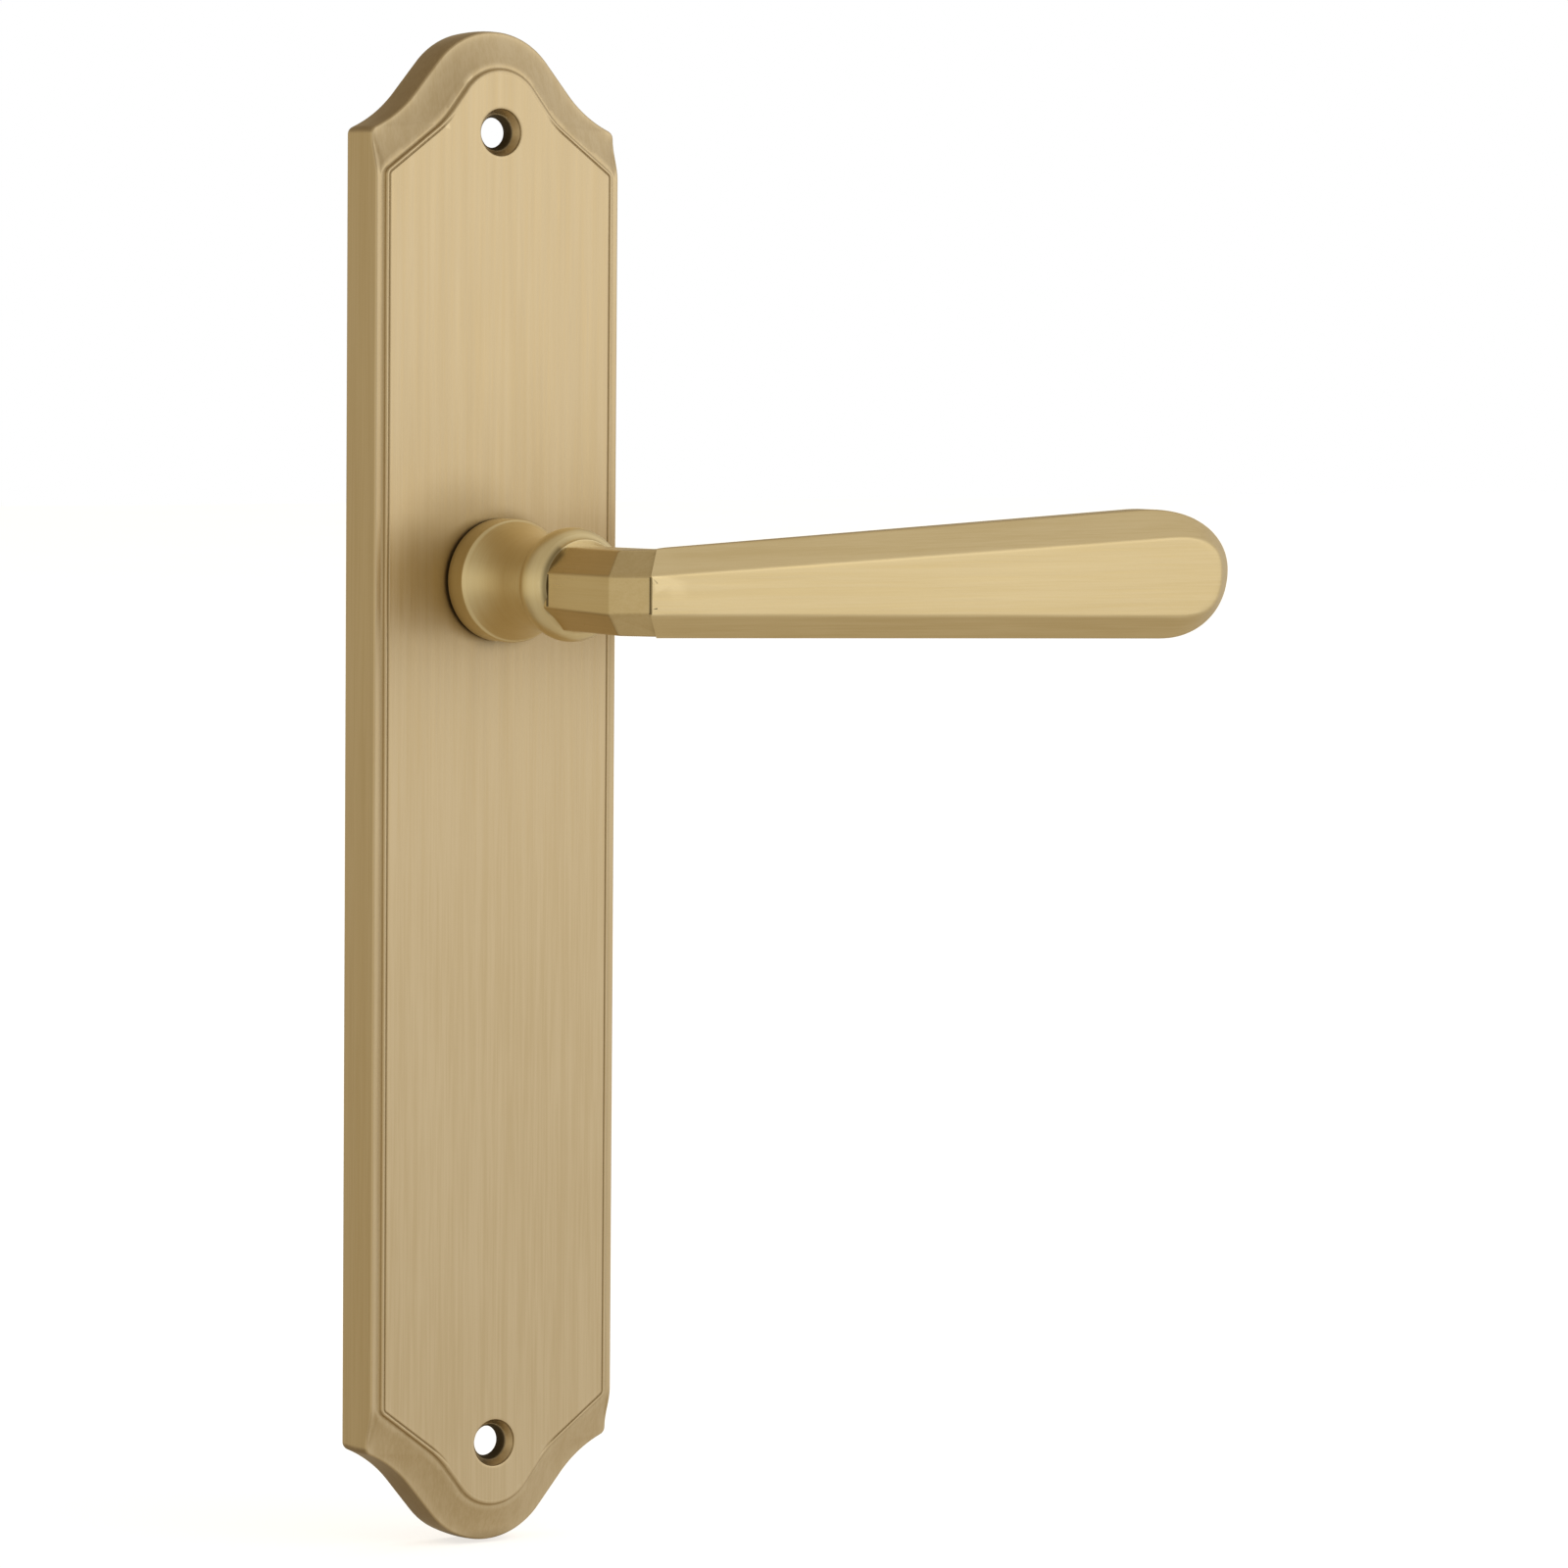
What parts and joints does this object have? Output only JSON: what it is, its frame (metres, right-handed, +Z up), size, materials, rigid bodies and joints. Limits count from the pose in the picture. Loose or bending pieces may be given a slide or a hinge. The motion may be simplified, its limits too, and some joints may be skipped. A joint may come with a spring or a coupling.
{
  "type": "lever handle lockset",
  "caption": "One side of a sprung lever door handle on a long, arched brass backplate, with its spindle and return-spring cassette.",
  "frame": {"origin": "spindle axis on the door face, the flat back of the plate", "axes": "+X along the grip, +Y into the door, +Z up"},
  "size_m": [0.1322, 0.0865, 0.24],
  "materials": {
    "plate_brass": "satin brushed lengthwise, clear lacquer",
    "lever_brass": "satin brushed along the grip, clear lacquer",
    "neck_brass": "satin turned, clear lacquer",
    "bush_nylon": "moulded nylon, dark",
    "white_nylon": "moulded acetal",
    "zinc_steel": "bright zinc plate over pressed steel",
    "drive_steel": "sintered steel, oiled",
    "spring_steel": "drawn music wire",
    "black_steel": "phosphated black",
    "spindle_steel": "zinc plated drawn bar"
  },
  "bodies": {
    "plate": {"backplate": "plate_brass", "bearing_bush": "bush_nylon", "spring_housing": "zinc_steel", "stop_pins": "drive_steel", "thrust_washer": "white_nylon", "return_spring": "spring_steel", "cassette_cover": "zinc_steel", "cassette_screws": "zinc_steel"},
    "lever": {"lever_neck": "neck_brass", "lever_grip": "lever_brass", "drive_hub": "drive_steel", "circlip": "black_steel", "grub_screw": "black_steel", "shim_washer": "zinc_steel", "spindle": "spindle_steel"}
  },
  "joints": [
    {"name": "lever_turn", "type": "hinge", "parent": "plate", "child": "lever", "pos_m": [0, 0, 0], "axis": [0, 1, 0], "range_deg": [0, 45], "stiffness_Nm_per_rad": 0.9, "springref_deg": -28.65, "deforming": ["return_spring"]}
  ]
}
